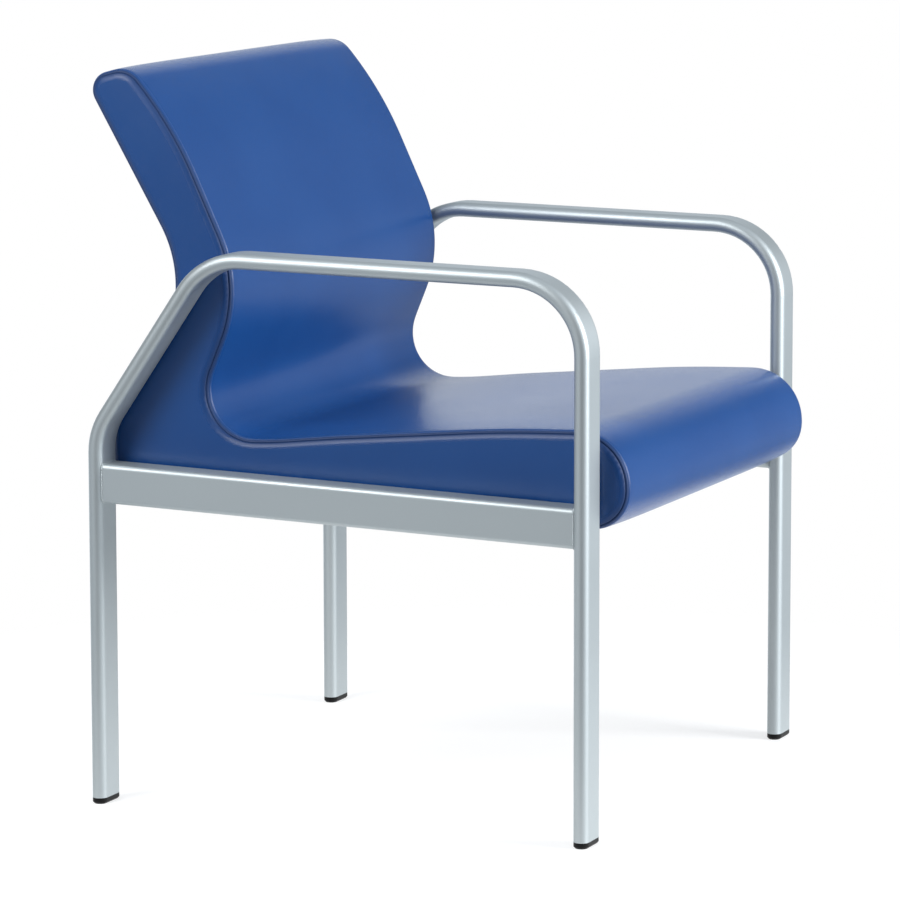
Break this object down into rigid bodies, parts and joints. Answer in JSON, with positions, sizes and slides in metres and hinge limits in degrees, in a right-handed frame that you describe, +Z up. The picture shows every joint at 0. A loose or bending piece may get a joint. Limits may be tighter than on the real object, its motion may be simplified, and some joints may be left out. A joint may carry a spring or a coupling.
{
  "type": "waiting room armchair",
  "caption": "Armchair with an S-shaped upholstered seat and back in blue vinyl, held between bent silver side frames that form legs and arms.",
  "frame": {"origin": "on the floor under the middle of the chair", "axes": "+Z up, -Y the way the sitter faces, +X towards the sitter's left"},
  "size_m": [0.6346, 0.6103, 0.7822],
  "materials": {
    "frame": "satin silver-grey powder coat",
    "caps": "matt black moulded plastic",
    "vinyl": "smooth blue upholstery vinyl with a soft sheen",
    "padding": "open cream polyurethane foam",
    "plywood": "bare birch plywood and sawn softwood",
    "black_cloth": "black woven cloth and webbing",
    "zinc_steel": "bright zinc plate"
  },
  "bodies": {
    "root": {"side_tube_left": "frame", "side_tube_right": "frame", "side_rail_left": "frame", "side_rail_right": "frame", "front_cross_rail": "frame", "rear_cross_rail": "frame", "foot_cap_front_left": "caps", "foot_cap_front_right": "caps", "foot_cap_rear_left": "caps", "foot_cap_rear_right": "caps", "main_cover": "vinyl", "side_panel_left": "vinyl", "side_panel_right": "vinyl", "piping_left": "vinyl", "piping_right": "vinyl", "seat_back_foam": "padding", "rear_wadding": "padding", "seat_base_foam": "padding", "cheek_left": "plywood", "cheek_right": "plywood", "seat_board": "plywood", "front_slat": "plywood", "tail_slat": "plywood", "waist_slat": "plywood", "crest_slat": "plywood", "back_panel": "plywood", "back_straps": "black_cloth", "dust_cover": "black_cloth", "seat_bolts": "zinc_steel", "seat_washers": "zinc_steel", "tee_nuts": "zinc_steel"}
  },
  "joints": []
}
